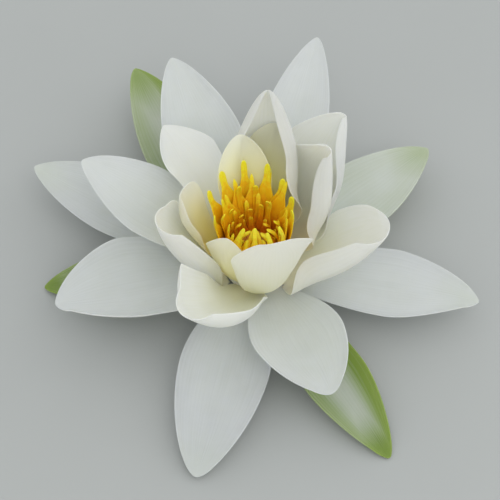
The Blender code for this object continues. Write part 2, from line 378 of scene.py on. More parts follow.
@dataclass(frozen=True)
class Blade:
    """One sepal, petal or stamen: a bowed, cupped strip that starts on the ovary's side."""

    name: str
    azimuth: float  # of the midline at the foot, degrees anticlockwise from +X
    length: float  # along the midline
    width: float  # greatest width, round the curve
    rise: float  # slope of the midline at the foot, degrees above level
    lift: float  # slope at the tip
    cup: float  # half-angle of the cross-section's arc at mid-length, degrees
    hood: float  # the same near the tip
    roll: float = 0.0  # turn about the midline, right margin up, degrees
    sway: float = 0.0  # turn of the midline's azimuth from foot to tip, degrees
    bend: float = 1.0  # 1 bows evenly; above 1 the bow gathers at the tip
    belly: float = 0.55  # where the blade is widest, as a share of its length
    point: float = 0.45  # 0 for a round tip, 1 for a sharp one
    curl: tuple[float, float] = (0.0, 0.0)  # extra turn of the left and right margins
    seat: float = 0.0  # how far its foot stands above its whorl's height
    foot: float = 1.0  # how broad its foot is, against the others of its whorl
    blunt: float = 0.35  # share of its width where the cupping starts to ease at the tip
    keel: float = 0.07  # depth of the channel along the midline
    ripple: float = 0.2  # how far the margins wave
    hook: float = 0.0  # extra slope gathered in the tip, degrees
    strap: float = 0.5  # where a stamen starts to narrow, as a share of its length
    finger: float = 0.28  # width of a stamen's finger, as a share of its strap
    tint: Tint = Tint()


class BladeSurface:
    """The middle surface of a blade, with its thickness."""

    LINE_STEPS = 80
    SECTION_STEPS = 81
    FOOT_GAP = 0.35  # from the ovary to the foot's back, in mm
    LEAST_WIDTH = 0.2  # at the tip, in mm

    def __init__(self, blade: Blade, whorl: Whorl, seed: int) -> None:
        """Works out the midline.

        Args:
            blade: the blade's form.
            whorl: the ring it stands in.
            seed: fixes how its margins wave.
        """
        self.blade = blade
        self.whorl = whorl
        self.waves = np.random.default_rng(seed).uniform(0.0, 2.0 * pi, 6)
        fine = np.linspace(0.0, 1.0, self.LINE_STEPS + 1)
        self.fine = fine
        self.pitch = np.radians(blade.rise + (blade.lift - blade.rise) * fine**blade.bend
                                + blade.hook * ramp(fine, 0.62, 0.38))
        self.heading = np.radians(blade.azimuth + blade.sway * fine)
        level = np.cos(self.pitch)
        along = np.stack([level * np.cos(self.heading), level * np.sin(self.heading),
                          np.sin(self.pitch)], 1)
        height = whorl.height + blade.seat
        start = Ovary.radius_at(height) + self.FOOT_GAP + 0.4 * whorl.thickness
        angle = radians(blade.azimuth)
        foot = np.array([start * cos(angle), start * sin(angle), height])
        steps = 0.5 * (along[1:] + along[:-1]) * blade.length / self.LINE_STEPS
        self.line = np.vstack([foot, foot + np.cumsum(steps, 0)])

    def width(self, share: float) -> float:
        """The blade's width at a share of its length."""
        blade = self.blade
        if self.whorl.outline is Outline.FINGER:
            strap = 1.0 - ramp(share, blade.strap, 0.3)
            closing = (1.0 - max(0.0, (share - 0.89) / 0.11) ** 2.2) ** 0.5
            return blade.width * (blade.finger + (1.0 - blade.finger) * strap) * closing
        if share < blade.belly:
            foot = self.whorl.foot_share * blade.foot
            return blade.width * (foot + (1.0 - foot) * sin(0.5 * pi * share / blade.belly))
        after = (share - blade.belly) / (1.0 - blade.belly)
        closing = (1.0 - after ** (2.0 - blade.point)) ** (0.5 + 0.5 * blade.point)
        return max(blade.width * closing, self.LEAST_WIDTH)

    def section(self, share: float, sides: np.ndarray) -> tuple[np.ndarray, np.ndarray]:
        """One row of the blade, bent into an arc that opens towards the flower's middle.

        Args:
            share: how far along the blade the row is.
            sides: from -1, the left margin seen from the foot, to 1, the right margin.

        Returns:
            How far across and how far up each of them stands.
        """
        blade = self.blade
        cup = self.whorl.foot_cup + (blade.cup - self.whorl.foot_cup) * ramp(share, 0.0, 0.4)
        cup += (blade.hood - blade.cup) * ramp(share, 0.55, 0.45)
        fine = np.linspace(-1.0, 1.0, self.SECTION_STEPS)
        turn = np.radians(cup) * fine
        blunt = 1.0
        if share > blade.belly:
            blunt = min(1.0, self.width(share) / (blade.blunt * blade.width))
        turn *= blunt
        shown = ramp(share, 0.15, 0.4) * blunt
        turn -= radians(blade.curl[0]) * shown * ramp(-fine, 0.4, 0.6)
        turn += radians(blade.curl[1]) * shown * ramp(fine, 0.4, 0.6)
        step = fine[1] - fine[0]
        runs = [0.5 * step * (turned[1:] + turned[:-1]) for turned in (np.cos(turn), np.sin(turn))]
        across, up = (np.concatenate([[0.0], np.cumsum(run)]) for run in runs)
        middle = len(fine) // 2
        half = 0.5 * self.width(share)
        across = half * np.interp(sides, fine, across - across[middle])
        up = half * np.interp(sides, fine, up - up[middle])
        return across, up + self.relief(share, sides)

    def relief(self, share: float, sides: np.ndarray) -> np.ndarray:
        """The channel along the midline and the waves near the margins, in mm upwards."""
        blade, wave = self.blade, self.waves
        shown = ramp(share, 0.08, 0.3) * (1.0 - ramp(share, 0.9, 0.1))
        channel = -blade.keel * np.exp(-((sides / 0.13) ** 2)) * shown
        swing = (np.sin(7.0 * share + wave[0]) + 0.6 * np.sin(15.0 * share + wave[1])
                 + 0.7 * np.sign(sides) * np.sin(10.0 * share + wave[2]))
        broad = 0.5 * np.sin(3.0 * sides + wave[3] + 4.0 * share)
        return channel + blade.ripple * shown * (swing * sides**2 + broad) * 0.6

    def rows(self, shares: np.ndarray, sides: np.ndarray) -> np.ndarray:
        """Points of the middle surface, one row for each share of the length."""
        found = []
        for share in shares:
            centre = np.array([np.interp(share, self.fine, self.line[:, axis])
                               for axis in range(3)])
            slope = np.interp(share, self.fine, self.pitch)
            turn = np.interp(share, self.fine, self.heading)
            ahead = np.array([cos(slope) * cos(turn), cos(slope) * sin(turn), sin(slope)])
            flat = np.array([sin(turn), -cos(turn), 0.0])
            above = np.cross(flat, ahead)
            roll = radians(self.blade.roll) * ramp(share, 0.0, 0.4)
            right = flat * cos(roll) + above * sin(roll)
            inner = above * cos(roll) - flat * sin(roll)
            across, up = self.section(share, sides)
            found.append(centre + np.outer(across, right) + np.outer(up, inner))
        return np.array(found)

    def thickness(self, shares: np.ndarray, sides: np.ndarray) -> np.ndarray:
        """The blade's thickness, thin at the margins and towards the tip."""
        thin = self.whorl.margin / self.whorl.thickness
        along = 1.0 - (0.75 - 0.5 * thin) * ramp(shares, 0.1, 0.9)
        over = 1.0 - (1.0 - thin) * np.abs(sides) ** 2.5
        made = self.whorl.thickness * np.outer(along, over)
        if self.whorl.outline is Outline.FINGER:
            sacs = np.exp(-(((np.abs(sides) - 0.5) / 0.28) ** 2))
            ripe = ramp(shares, 0.42, 0.15) * (1.0 - ramp(shares, 0.9, 0.1))
            made += 0.45 * self.whorl.thickness * np.outer(ripe, sacs)
        return np.maximum(made, self.whorl.margin)


class BladePiece:
    """The closed mesh of a blade: inner face, outer face and the edge between them."""

    LAST_SHARE = 0.9985  # where the last row stands, just short of the tip

    def __init__(self, surface: BladeSurface, rows: int, columns: int, crowd: float) -> None:
        """Keeps the sizes of the mesh.

        Args:
            surface: the blade's middle surface.
            rows: how many strips it has from foot to tip.
            columns: how many strips from margin to margin.
            crowd: how far the rows gather at the tip; 1 spaces them evenly.
        """
        self.surface = surface
        self.shares = 1.0 - (1.0 - np.linspace(0.0, 1.0, rows + 1)) ** crowd
        self.shares[-1] = self.LAST_SHARE
        self.sides = np.linspace(-1.0, 1.0, columns + 1)

    def build(self) -> bpy.types.Object:
        """Makes the object, with along, across, inner, green and gold on its vertices."""
        middle = self.surface.rows(self.shares, self.sides)
        over = np.gradient(middle, axis=1)
        over /= np.linalg.norm(over, axis=2, keepdims=True)
        ahead = np.gradient(middle, self.shares, axis=0)
        normal = np.cross(over, ahead)
        normal /= np.maximum(np.linalg.norm(normal, axis=2, keepdims=True), 1e-9)
        half = 0.5 * self.surface.thickness(self.shares, self.sides)[:, :, None]
        top, under = middle + half * normal, middle - half * normal
        edges = [middle[:, end] + way * half[:, end] * over[:, end]
                 for end, way in ((-1, 1.0), (0, -1.0))]
        ring = np.concatenate([top, edges[0][:, None], under[:, ::-1], edges[1][:, None]], 1)
        numbers = self.numbers(ring.shape)
        return new_piece(self.surface.blade.name + "_blade", ring.reshape(-1, 3),
                         self.faces(*ring.shape[:2]), numbers)

    def numbers(self, shape: tuple[int, ...]) -> dict[str, np.ndarray]:
        """The numbers each vertex carries, by name, for rings of this many vertices."""
        tint = self.surface.blade.tint
        sides = np.concatenate([self.sides, [1.0], self.sides[::-1], [-1.0]])
        inner = np.concatenate([np.ones_like(self.sides), [0.5],
                                np.zeros_like(self.sides), [0.5]])
        along = np.repeat(self.shares[:, None], shape[1], 1)
        across, inner = np.tile(sides, (shape[0], 1)), np.tile(inner, (shape[0], 1))
        reach = ramp(along, 0.1, 0.35)
        left = tint.green_left * reach * ramp(-across, 0.1, 0.7)
        right = tint.green_right * reach * ramp(across, 0.1, 0.7)
        tip = tint.green_tip * ramp(along, 0.72, 0.25)
        green = np.clip(np.maximum(np.maximum(left, right), tip), 0.0, 1.0)
        # gold: the petal's own cream at the foot together with painted glow of light from the
        # stamens
        gold = tint.gold * (1.0 - ramp(along, 0.0, tint.gold_reach))
        found = {"along": along, "across": across, "inner": inner, "green": green,
                 "gold": gold}
        return {name: values.reshape(-1) for name, values in found.items()}

    def faces(self, rows: int, ring: int) -> list[tuple[int, ...]]:
        """The faces of a closed blade of so many rows, with so many vertices round each."""
        found = []
        for row in range(rows - 1):
            first = row * ring
            for step in range(ring):
                after = (step + 1) % ring
                found.append((first + step, first + after, first + ring + after,
                              first + ring + step))
        columns = len(self.sides)
        for start, turned in ((0, True), ((rows - 1) * ring, False)):
            caps = [(start + columns - 1, start + columns, start + columns + 1),
                    (start + 2 * columns, start + 2 * columns + 1, start)]
            caps += [(start + step, start + step + 1, start + 2 * columns - step - 1,
                      start + 2 * columns - step) for step in range(columns - 1)]
            found += [cap[::-1] for cap in caps] if turned else caps
        return found


SEPALS = Whorl(6.0, 0.38, 8.0, 0.85, 0.3)
OUTER = Whorl(7.5, 0.38, 10.0, 0.8, 0.22)
SECOND = Whorl(9.0, 0.32, 14.0, 0.8, 0.22)
THIRD = Whorl(10.6, 0.28, 18.0, 0.8, 0.22)
INNER = Whorl(12.2, 0.28, 20.0, 0.7, 0.22)
OUTER_STAMENS = Whorl(14.3, 0.85, 20.0, 0.5, 0.3, Outline.FINGER)
MIDDLE_STAMENS = Whorl(15.4, 0.9, 20.0, 0.5, 0.3, Outline.FINGER)
INNER_STAMENS = Whorl(16.3, 0.9, 20.0, 0.5, 0.3, Outline.FINGER)

CALYX = (
    Blade("sepal_rear_left", 118, 66.5, 22, -3, 18, 30, 30, bend=1.3,
          tint=Tint(0.45, 0.95, 0.8)),
    Blade("sepal_rear_right", 38, 54, 22, 0, 10, 25, 30, tint=Tint(0.1, 0.15, 0.45)),
    Blade("sepal_front_right", -57.5, 57, 18, -4, -7, 25, 35, tint=Tint(1.0, 0.65, 1.0)),
    Blade("sepal_left", -178, 50, 18, -4, -7.8, 25, 30, tint=Tint(0.8, 0.8, 1.0)),
)
OUTER_PETALS = (
    Blade("outer_petal_left", 153, 60, 22, 3, 4, 20, 25, tint=Tint(0.0, 0.0, 0.15)),
    Blade("outer_petal_rear", 75, 62, 19, 12, 22, 25, 35),
    Blade("outer_petal_right", -11, 52, 22, 2, 0, 25, 45, tint=Tint(0.0, 0.0, 0.12)),
    Blade("outer_petal_front", -104, 54, 24, 0, -12, 20, 25, belly=0.45, point=0.3,
          tint=Tint(0.0, 0.0, 0.12)),
)
SECOND_PETALS = (
    Blade("second_petal_rear_left", 113, 54, 22, 18, 28, 25, 30),
    Blade("second_petal_left", -162, 46, 30, 8, 8, 35, 35, curl=(30, 0), foot=0.7),
    Blade("second_petal_front_right", -67.5, 42, 25, 10, 18, 30, 30, belly=0.5, point=0.3),
    Blade("second_petal_rear_right", 47.2, 40.8, 28.2, 30.7, 60.4, 33.5, 99.6, roll=4.6, sway=6,
          bend=0.7, curl=(-35.2, 59.6), point=0.01, belly=0.43, seat=-0.03, foot=0.91, blunt=0.2),
)
THIRD_PETALS = (
    Blade("third_petal_left", 157, 45, 22, 20, 30, 25, 30, seat=-0.6, tint=Tint(gold=0.27)),
    Blade("third_petal_rear_left", 124.4, 35.8, 18.3, 23.5, 39.4, 68.3, 27.3, roll=-0.3,
          sway=10.7, bend=1.09, curl=(-0.2, -19.6), point=0.59, belly=0.69, seat=0.27, foot=0.82,
          tint=Tint(gold=0.54)),
    Blade("third_petal_rear", 75.2, 40, 31.3, 46.5, 65.1, 60.8, 100, roll=19.6, sway=26.1,
          bend=0.98, curl=(74.3, 73.2), point=0.01, belly=0.43, seat=0.88, foot=0.79,
          blunt=0.06, tint=Tint(gold=0.36)),
    Blade("third_petal_rear_right", 37.1, 36, 30.7, 25.2, 94, 52.7, 94.4, roll=8.9, sway=-4.5,
          bend=0.78, curl=(-27.1, 72.8), point=0.11, belly=0.47, seat=-0.13, foot=0.8,
          blunt=0.3, tint=Tint(gold=0.45)),
    Blade("third_petal_right", -15.9, 38.2, 33, 12.6, 68.7, 69, 62.4, roll=12.9, sway=7.2,
          bend=0.71, curl=(-17.4, 74.3), point=0.08, belly=0.44, seat=-1.86, foot=1.15,
          blunt=0.6, tint=Tint(gold=0.27)),
    Blade("third_petal_front", -103, 47.5, 30.8, 34.7, 64.2, 80, 78.2, roll=0.4, sway=-34.2,
          bend=1.96, curl=(10.6, -4.5), point=0.53, belly=0.79, seat=0.1, foot=0.85,
          blunt=0.5, tint=Tint(gold=0.22)),
    Blade("third_petal_front_left", -159.9, 34.9, 28.2, 25.5, 82.5, 61.9, 72.4, roll=-6.7,
          sway=-5.2, bend=0.68, curl=(42, 3), point=0.11, belly=0.6, seat=-0.04, foot=1.15,
          blunt=0.55, tint=Tint(gold=0.27)),
)
INNER_PETALS = (
    Blade("inner_petal_rear", 101.2, 28.1, 15, 68.6, 57.2, 36.1, 34.7, roll=2.9, sway=-1.1,
          bend=1.04, curl=(-5.3, -3), point=0.15, belly=0.56, seat=1.35,
          tint=Tint(gold=1.0, gold_reach=1.5)),
    Blade("inner_petal_rear_right", 81.2, 30.4, 15.7, 61.5, 49.5, 39.1, 34.2, roll=6.2,
          sway=-9.1, curl=(1, 26), point=0.21, belly=0.6, seat=0.28,
          tint=Tint(gold=1.0, gold_reach=1.6)),
    Blade("inner_petal_left", 167.5, 26, 16.4, 40.8, 88.3, 40, 18.5, roll=-6.9, sway=-13.6,
          curl=(73.7, -22.2), point=0.17, belly=0.73, seat=-0.72, foot=0.89,
          tint=Tint(gold=1.0, gold_reach=1.2)),
    Blade("inner_petal_front_left", -121.6, 26, 16, 52.8, 104.1, 45.3, 11.1, roll=3.3, sway=11.5,
          bend=0.94, curl=(-11, -5.1), point=0.34, seat=0.54, foot=1.2,
          tint=Tint(gold=1.0, gold_reach=1.6)),
    Blade("inner_petal_front", -73.3, 39.7, 24.2, 40.6, 101.4, 61.2, 34.4, roll=-15.5,
          sway=-14.2, bend=0.91, curl=(-16.8, 18.2), point=0.16, belly=0.76, seat=-0.79,
          tint=Tint(gold=0.6, gold_reach=1.15)),
)


@dataclass(frozen=True)
class StamenSize:
    """One stamen, in its ring's common form."""

    azimuth: float  # degrees anticlockwise from +X
    length: float
    width: float  # of the strap at its foot
    rise: float  # slope at the foot, degrees above level
    lift: float  # slope at the tip
    sway: float = 0.0

    def blade(self, name: str, hook: float, strap: float, finger: float) -> Blade:
        """The stamen as a blade, narrow past strap and with its tip turned in by hook degrees."""
        return Blade(name, self.azimuth, self.length, self.width, self.rise, self.lift, 30, 30,
                     sway=self.sway, keel=0.0, ripple=0.05, hook=hook, strap=strap,
                     finger=finger)


def stamens(*rows: tuple[float, ...]) -> tuple[StamenSize, ...]:
    """Makes a ring's stamens from azimuth, length, width, rise, lift and perhaps sway."""
    return tuple(StamenSize(*row) for row in rows)


OUTER_RING = stamens(
    (151, 19.5, 5.1, 76, 61), (126, 21, 5.4, 75, 58), (101, 21.5, 4.3, 70, 59),
    (77, 21.3, 4.3, 72, 63), (55, 18.5, 4.9, 75, 62, 10), (31, 16.7, 4.9, 78, 68, 20),
    (8, 17, 4.9, 84, 76, 20), (-18, 15, 4.2, 88, 96), (-50, 15, 3.4, 92, 106),
    (-91, 15.5, 3.2, 95, 130), (-140, 15.5, 3.4, 90, 116), (178, 16.5, 4.4, 80, 75),
)
MIDDLE_RING = stamens(
    (163, 13.4, 2.7, 80, 76), (138, 11.5, 2.7, 80, 76), (113, 16, 2.7, 74, 66),
    (89, 15.5, 2.7, 70, 70), (66, 12.2, 2.7, 80, 76), (22, 11, 2.0, 90, 95),
    (-4, 11.3, 2.0, 94, 116), (-34, 11.6, 2.0, 96, 130), (-69, 13, 2.0, 98, 136),
    (-114, 13.5, 2.0, 98, 138), (-160, 12, 2.0, 98, 134),
)
INNER_RING = stamens(
    (150, 8.5, 2.1, 92, 104), (126, 9, 2.1, 86, 90), (101, 9, 2.1, 82, 80),
    (78, 10, 2.1, 80, 74), (45, 8.5, 2.1, 100, 110), (9, 7.5, 1.7, 108, 130),
    (-50, 7.5, 1.7, 108, 130), (-92, 7.5, 1.7, 108, 130), (-137, 7.5, 1.7, 108, 130),
)


@dataclass(frozen=True)
class PetalFinish:
    """Satin white tissue with fine veins running from foot to tip, green where tinted, and gold at
    the foot that is partly its own cream and partly painted glow of the stamens' light.
    """

    name: str
    white: Colour = (0.87, 0.875, 0.79, 1.0)
    shade: Colour = (0.82, 0.83, 0.70, 1.0)
    # gold is partly the tissue's own cream and partly painted glow of the stamens' light
    gold: Colour = (0.92, 0.84, 0.30, 1.0)
    green: Colour = (0.30, 0.42, 0.08, 1.0)
    # back and back_vein: the outer face, kept darker than the inner face as painted shade on the
    # side that catches the light; its veins are real
    back: Colour = (0.78, 0.79, 0.73, 1.0)
    back_vein: Colour = (0.72, 0.73, 0.66, 1.0)
    veins: float = 11.0
    vein_strength: float = 0.12
    back_lines: float = 0.15  # how far the veins show behind
    roughness: float = 0.46
    glow: float = 0.8  # how much light passes into the tissue

    def material(self) -> bpy.types.Material:
        """Makes the material."""
        graph = ShaderGraph(self.name)
        along, across = graph.attribute("along"), graph.attribute("across")
        inner, green = graph.attribute("inner"), graph.attribute("green")
        wander = graph.noise(graph.vector(across * 2.5, along * 2.0), 1.6)
        wave = graph.math("COSINE", (across + wander * 0.10) * (self.veins * pi))
        vein = graph.span(abs(wave), 0.55, 1.0)
        fibre = graph.noise(graph.vector(across * 45.0, along * 3.0, inner), 1.0, 3.0)
        cloud = graph.noise(graph.place(), 120.0, 3.0)
        marks = (vein * self.vein_strength + graph.span(fibre, 0.35, 0.75, 0.0, 0.35)
                 + graph.span(cloud, 0.35, 0.7, 0.0, 0.3))
        face = graph.blend(marks, self.white, self.shade)
        # the back's darker tone is painted shade on the lit outer face; the veins behind are real
        behind = graph.blend(vein * self.back_lines + fibre * 0.5, self.back, self.back_vein)
        face = graph.blend(inner, behind, face)
        # painted glow of the stamens' light, with the petal's own cream: full on the inner face,
        # 60 % on the back
        cream_and_stamen_glow = graph.attribute("gold") * graph.span(inner, 0.0, 1.0, 0.6, 1.0)
        face = graph.blend(cream_and_stamen_glow, face, self.gold)
        spread = green * (fibre * 0.7 + vein * 0.12 + 0.65)
        face = graph.blend(graph.math("MINIMUM", spread, 1.0), face, self.green)
        rough = graph.span(fibre, 0.2, 0.8, self.roughness - 0.06, self.roughness + 0.08)
        graph.set(Base_Color=face, Roughness=rough, Subsurface_Weight=self.glow,
                  Subsurface_Radius=(1.0, 0.97, 0.8), Subsurface_Scale=2.2 * MM,
                  Specular_IOR_Level=0.4)
        cells = graph.noise(graph.place(), 5200.0)
        graph.bump(vein * 0.35 + fibre * 0.8 + cells * 0.25, 0.008 * MM)
        return graph.material


@dataclass(frozen=True)
class StamenFinish:
    """Golden filament that ends in a bright yellow, mealy anther."""

    name: str
    foot: Colour = (0.70, 0.24, 0.002, 1.0)
    body: Colour = (0.88, 0.52, 0.004, 1.0)
    tip: Colour = (0.94, 0.84, 0.04, 1.0)
    low: float = 0.1  # share of the length where the foot's colour starts to give way
    high: float = 0.55  # and where the tip's colour starts
    roughness: float = 0.5

    def material(self) -> bpy.types.Material:
        """Makes the material."""
        graph = ShaderGraph(self.name)
        along, across = graph.attribute("along"), graph.attribute("across")
        mottle = graph.noise(graph.place(), 900.0)
        lifted = along + graph.span(mottle, 0.3, 0.7, -0.08, 0.08)
        face = graph.blend(graph.span(lifted, self.low, self.high), self.foot, self.body)
        face = graph.blend(graph.span(lifted, self.high, 0.95), face, self.tip)
        fibre = graph.noise(graph.vector(across * 9.0, along * 2.0), 2.0)
        face = graph.blend(graph.span(fibre, 0.45, 0.75, 0.0, 0.25), face, self.body)
        grain = graph.noise(graph.place(), 7000.0)
        rough = graph.span(grain, 0.3, 0.7, self.roughness - 0.05, self.roughness + 0.12)
        graph.set(Base_Color=face, Roughness=rough, Subsurface_Weight=0.35,
                  Subsurface_Radius=(1.0, 0.6, 0.1), Subsurface_Scale=0.8 * MM,
                  Specular_IOR_Level=0.35)
        graph.bump(grain * 0.6 + fibre, 0.05 * MM)
        return graph.material


@dataclass(frozen=True)
class TissueFinish:
    """Plain plant tissue: two shades in a fine mottle, with lengthwise streaks."""

    name: str
    first: Colour
    second: Colour
    roughness: float = 0.5
    mottle: float = 600.0
    streaks: float = 2500.0
    side: Colour | None = None  # of the lower part, if it differs
    turns_at: float = 14.0  # height where it does, in mm

    def material(self) -> bpy.types.Material:
        """Makes the material."""
        graph = ShaderGraph(self.name)
        place = graph.place()
        mottle = graph.noise(place, self.mottle, 3.0)
        stretch = graph.put("ShaderNodeMapping", {"Vector": place, "Scale": (1.0, 1.0, 0.1)})
        streak = graph.noise(stretch, self.streaks)
        mixed = graph.span(mottle, 0.35, 0.7, 0.0, 0.6) + graph.span(streak, 0.4, 0.7, 0.0, 0.4)
        rough = graph.span(streak, 0.3, 0.7, self.roughness - 0.05, self.roughness + 0.1)
        face = graph.blend(mixed, self.first, self.second)
        if self.side is not None:
            upper = graph.span(graph.split(place)[2], (self.turns_at - 1.5) * MM,
                               (self.turns_at + 1.5) * MM)
            pale = graph.blend(mixed * 0.15, self.side, self.first)
            face = graph.blend(upper, pale, face)
        graph.set(Base_Color=face, Roughness=rough, Subsurface_Weight=0.2,
                  Subsurface_Radius=(1.0, 0.7, 0.3), Subsurface_Scale=0.8 * MM)
        graph.bump(streak, 0.06 * MM)
        return graph.material


@dataclass(frozen=True)
class FloorFinish:
    """A pale, matt surface with the faintest mottle."""

    name: str = "floor_pale"
    first: Colour = (0.43, 0.445, 0.435, 1.0)
    second: Colour = (0.46, 0.475, 0.465, 1.0)

    def material(self) -> bpy.types.Material:
        """Makes the material."""
        graph = ShaderGraph(self.name)
        cloud = graph.noise(graph.place(), 18.0, 3.0)
        graph.set(Base_Color=graph.blend(cloud, self.first, self.second), Roughness=0.8)
        return graph.material


class VeinRelief:
    """Geometry Nodes that raise a blade's veins on its outer face and sink them inside."""

    def __init__(self, count: float, depth: float, material: bpy.types.Material) -> None:
        """Builds the tree.

        Args:
            count: how many veins run from margin to margin.
            depth: how high they stand.
            material: what the blade is made of.
        """
        values = {"Vein Count": count, "Vein Depth": depth * MM, "Material": material}
        self.graph = graph = GeometryGraph("vein_relief_" + material.name, values)
        across, along, inner = (graph.stored(name) for name in ("across", "along", "inner"))
        ridge = abs(graph.math("COSINE", across * graph["Vein Count"] * pi)) ** 2.0
        margin = 1.0 - abs(across) ** 6.0
        ends = graph.span(along, 0.02, 0.2) * graph.span(along, 0.8, 0.98, 1.0, 0.0)
        height = ridge * margin * (ends * (1.0 - inner * 1.6)) * graph["Vein Depth"]
        normal = graph.put("GeometryNodeInputNormal")
        lift = graph.put("ShaderNodeVectorMath", {0: normal, "Scale": height},
                         operation="SCALE")
        graph.close(graph.move(graph["Geometry"], Offset=lift))

    def apply_to(self, piece: bpy.types.Object) -> None:
        """Raises the veins of one blade."""
        self.graph.apply_to(piece)


@dataclass(frozen=True)
class BladeRing:
    """A ring of sepals or petals and how finely they are made."""

    whorl: Whorl
    blades: tuple[Blade, ...]
    slot: Slot
    vein_depth: float = 0.0025
    rows: int = 64
    columns: int = 56
    crowd: float = 1.5
    seed_step: int = 31  # keeps the waves of rings of unlike counts apart

    def build(self) -> list[bpy.types.Object]:
        """Makes the blades' closed meshes."""
        pieces = []
        for place, blade in enumerate(self.blades):
            surface = BladeSurface(blade, self.whorl, len(self.blades) * self.seed_step + place)
            pieces.append(BladePiece(surface, self.rows, self.columns, self.crowd).build())
        return pieces

    def dress(self, pieces: list[bpy.types.Object], finish: PetalFinish) -> None:
        """Raises the veins, gives the material and hands the blades over."""
        relief = VeinRelief(finish.veins, self.vein_depth, finish.material())
        for piece, blade in zip(pieces, self.blades):
            relief.apply_to(piece)
            hand_over(piece, (blade.name,))


@dataclass(frozen=True)
class StamenRing:
    """A ring of stamens that each have a CAD node."""

    name: str
    whorl: Whorl
    sizes: tuple[StamenSize, ...]
    hook: float = 20.0
    strap: float = 0.5
    finger: float = 0.28
    rows: int = 26
    columns: int = 10
    crowd: float = 1.15
    seed_step: int = 57

    def build(self) -> list[bpy.types.Object]:
        """Makes the stamens' closed meshes."""
        pieces = []
        for place, size in enumerate(self.sizes, start=1):
            blade = size.blade(f"{self.name}_stamen_{place}", self.hook, self.strap,
                               self.finger)
            surface = BladeSurface(blade, self.whorl, len(self.sizes) * self.seed_step + place)
            pieces.append(BladePiece(surface, self.rows, self.columns, self.crowd).build())
        return pieces

    def dress(self, pieces: list[bpy.types.Object], material: bpy.types.Material) -> None:
        """Gives the material and hands the stamens over."""
        for piece in pieces:
            piece.data.materials.append(material)
            hand_over(piece, (piece.name.removesuffix("_blade"),))


@dataclass(frozen=True)
class StamenFill:
    """A ring of further stamens between those of the CAD model, made by Geometry Nodes."""

    name: str
    count: int
    height: float  # of the feet above the ground
    length: float
    length_swing: float  # longer at the rear and shorter in front by this much
    width: float
    turn: float  # of the first stamen, degrees
    lean: float  # outwards, degrees
    lean_swing: float  # more at the rear and less in front
    bend: float  # inward sweep of the tip, as a share of the length
    bend_swing: float  # less at the rear and more in front
    seed: int
    strap: float = 0.5  # where they start to narrow, as a share of their length
    tip_share: float = 0.28  # width of their tips, as a share of their feet's
    thickness: float = 0.55
    jitter: float = 7.0  # degrees

    def graph(self, material: bpy.types.Material) -> GeometryGraph:
        """Builds the tree: a flat finger, set round the axis and bent over."""
        values = {"Count": self.count, "Radius": (Ovary.radius_at(self.height) + 0.1) * MM,
                  "Height": self.height * MM, "Length": self.length * MM,
                  "Length Swing": self.length_swing * MM, "Width": self.width * MM,
                  "Thickness": self.thickness * MM, "Turn": radians(self.turn),
                  "Jitter": radians(self.jitter), "Lean": radians(self.lean),
                  "Lean Swing": radians(self.lean_swing), "Bend": self.bend,
                  "Bend Swing": self.bend_swing, "Strap": self.strap,
                  "Tip Share": self.tip_share, "Seed": self.seed, "Material": material}
        graph = GeometryGraph(self.name, values)
        jitter = graph.random(0.0 - graph["Jitter"], graph["Jitter"], 0)
        step = 2.0 * pi / graph["Count"]
        azimuth = graph.put("GeometryNodeInputIndex") * step + graph["Turn"] + jitter
        rear, cosine = graph.math("SINE", azimuth), graph.math("COSINE", azimuth)
        length = (graph["Length"] + rear * graph["Length Swing"]) * graph.random(0.9, 1.1, 1)
        lean = graph["Lean"] + rear * graph["Lean Swing"] + graph.random(-0.06, 0.06, 2)
        sweep = (graph["Bend"] - rear * graph["Bend Swing"]) * length
        place = graph.vector(cosine * graph["Radius"] + AXIS_PLACE[0],
                             rear * graph["Radius"] + AXIS_PLACE[1], graph["Height"])
        points = graph.store(graph.points(graph["Count"], place), toward_x=cosine * sweep,
                             toward_y=rear * sweep, sink=sweep)
        ring = graph.copies(points, self.finger(graph), Rotation=graph.turned(lean, azimuth),
                            Scale=graph.vector(1.0, 1.0, length))
        along = graph.stored("along")
        over = along**2.0 * -1.0
        offset = graph.vector(over * graph.stored("toward_x"), over * graph.stored("toward_y"),
                              along**3.0 * -0.35 * graph.stored("sink"))
        graph.close(graph.move(graph.realized(ring), Offset=offset))
        return graph

    def finger(self, graph: GeometryGraph) -> Value:
        """A flat finger one unit long, broad at the foot, facing the axis."""
        x, y, z = graph.spot()
        along = z + 0.5
        tube = graph.store(graph.tube(10, 18, 1.0), along=along, across=y)
        strap = graph.span(along, graph["Strap"], graph["Strap"] + 0.32, 1.0,
                           graph["Tip Share"])
        late = graph.math("MAXIMUM", (along - 0.8) * 4.9, 0.0)
        closing = graph.math("SQRT", 1.0 - late**2.0)
        wide = strap * closing * (graph["Width"] * 0.5)
        deep = closing * (graph["Thickness"] * 0.5)
        curve = abs(y) ** 2.0 * (wide * -0.35)
        return graph.move(tube, Position=graph.vector(x * deep + curve, y * wide, along))

    def build(self, material: bpy.types.Material) -> bpy.types.Object:
        """Makes the ring as one plain mesh."""
        return self.graph(material).make()

    def dress(self, piece: bpy.types.Object) -> None:
        """Hands the ring over."""
        hand_over(piece)


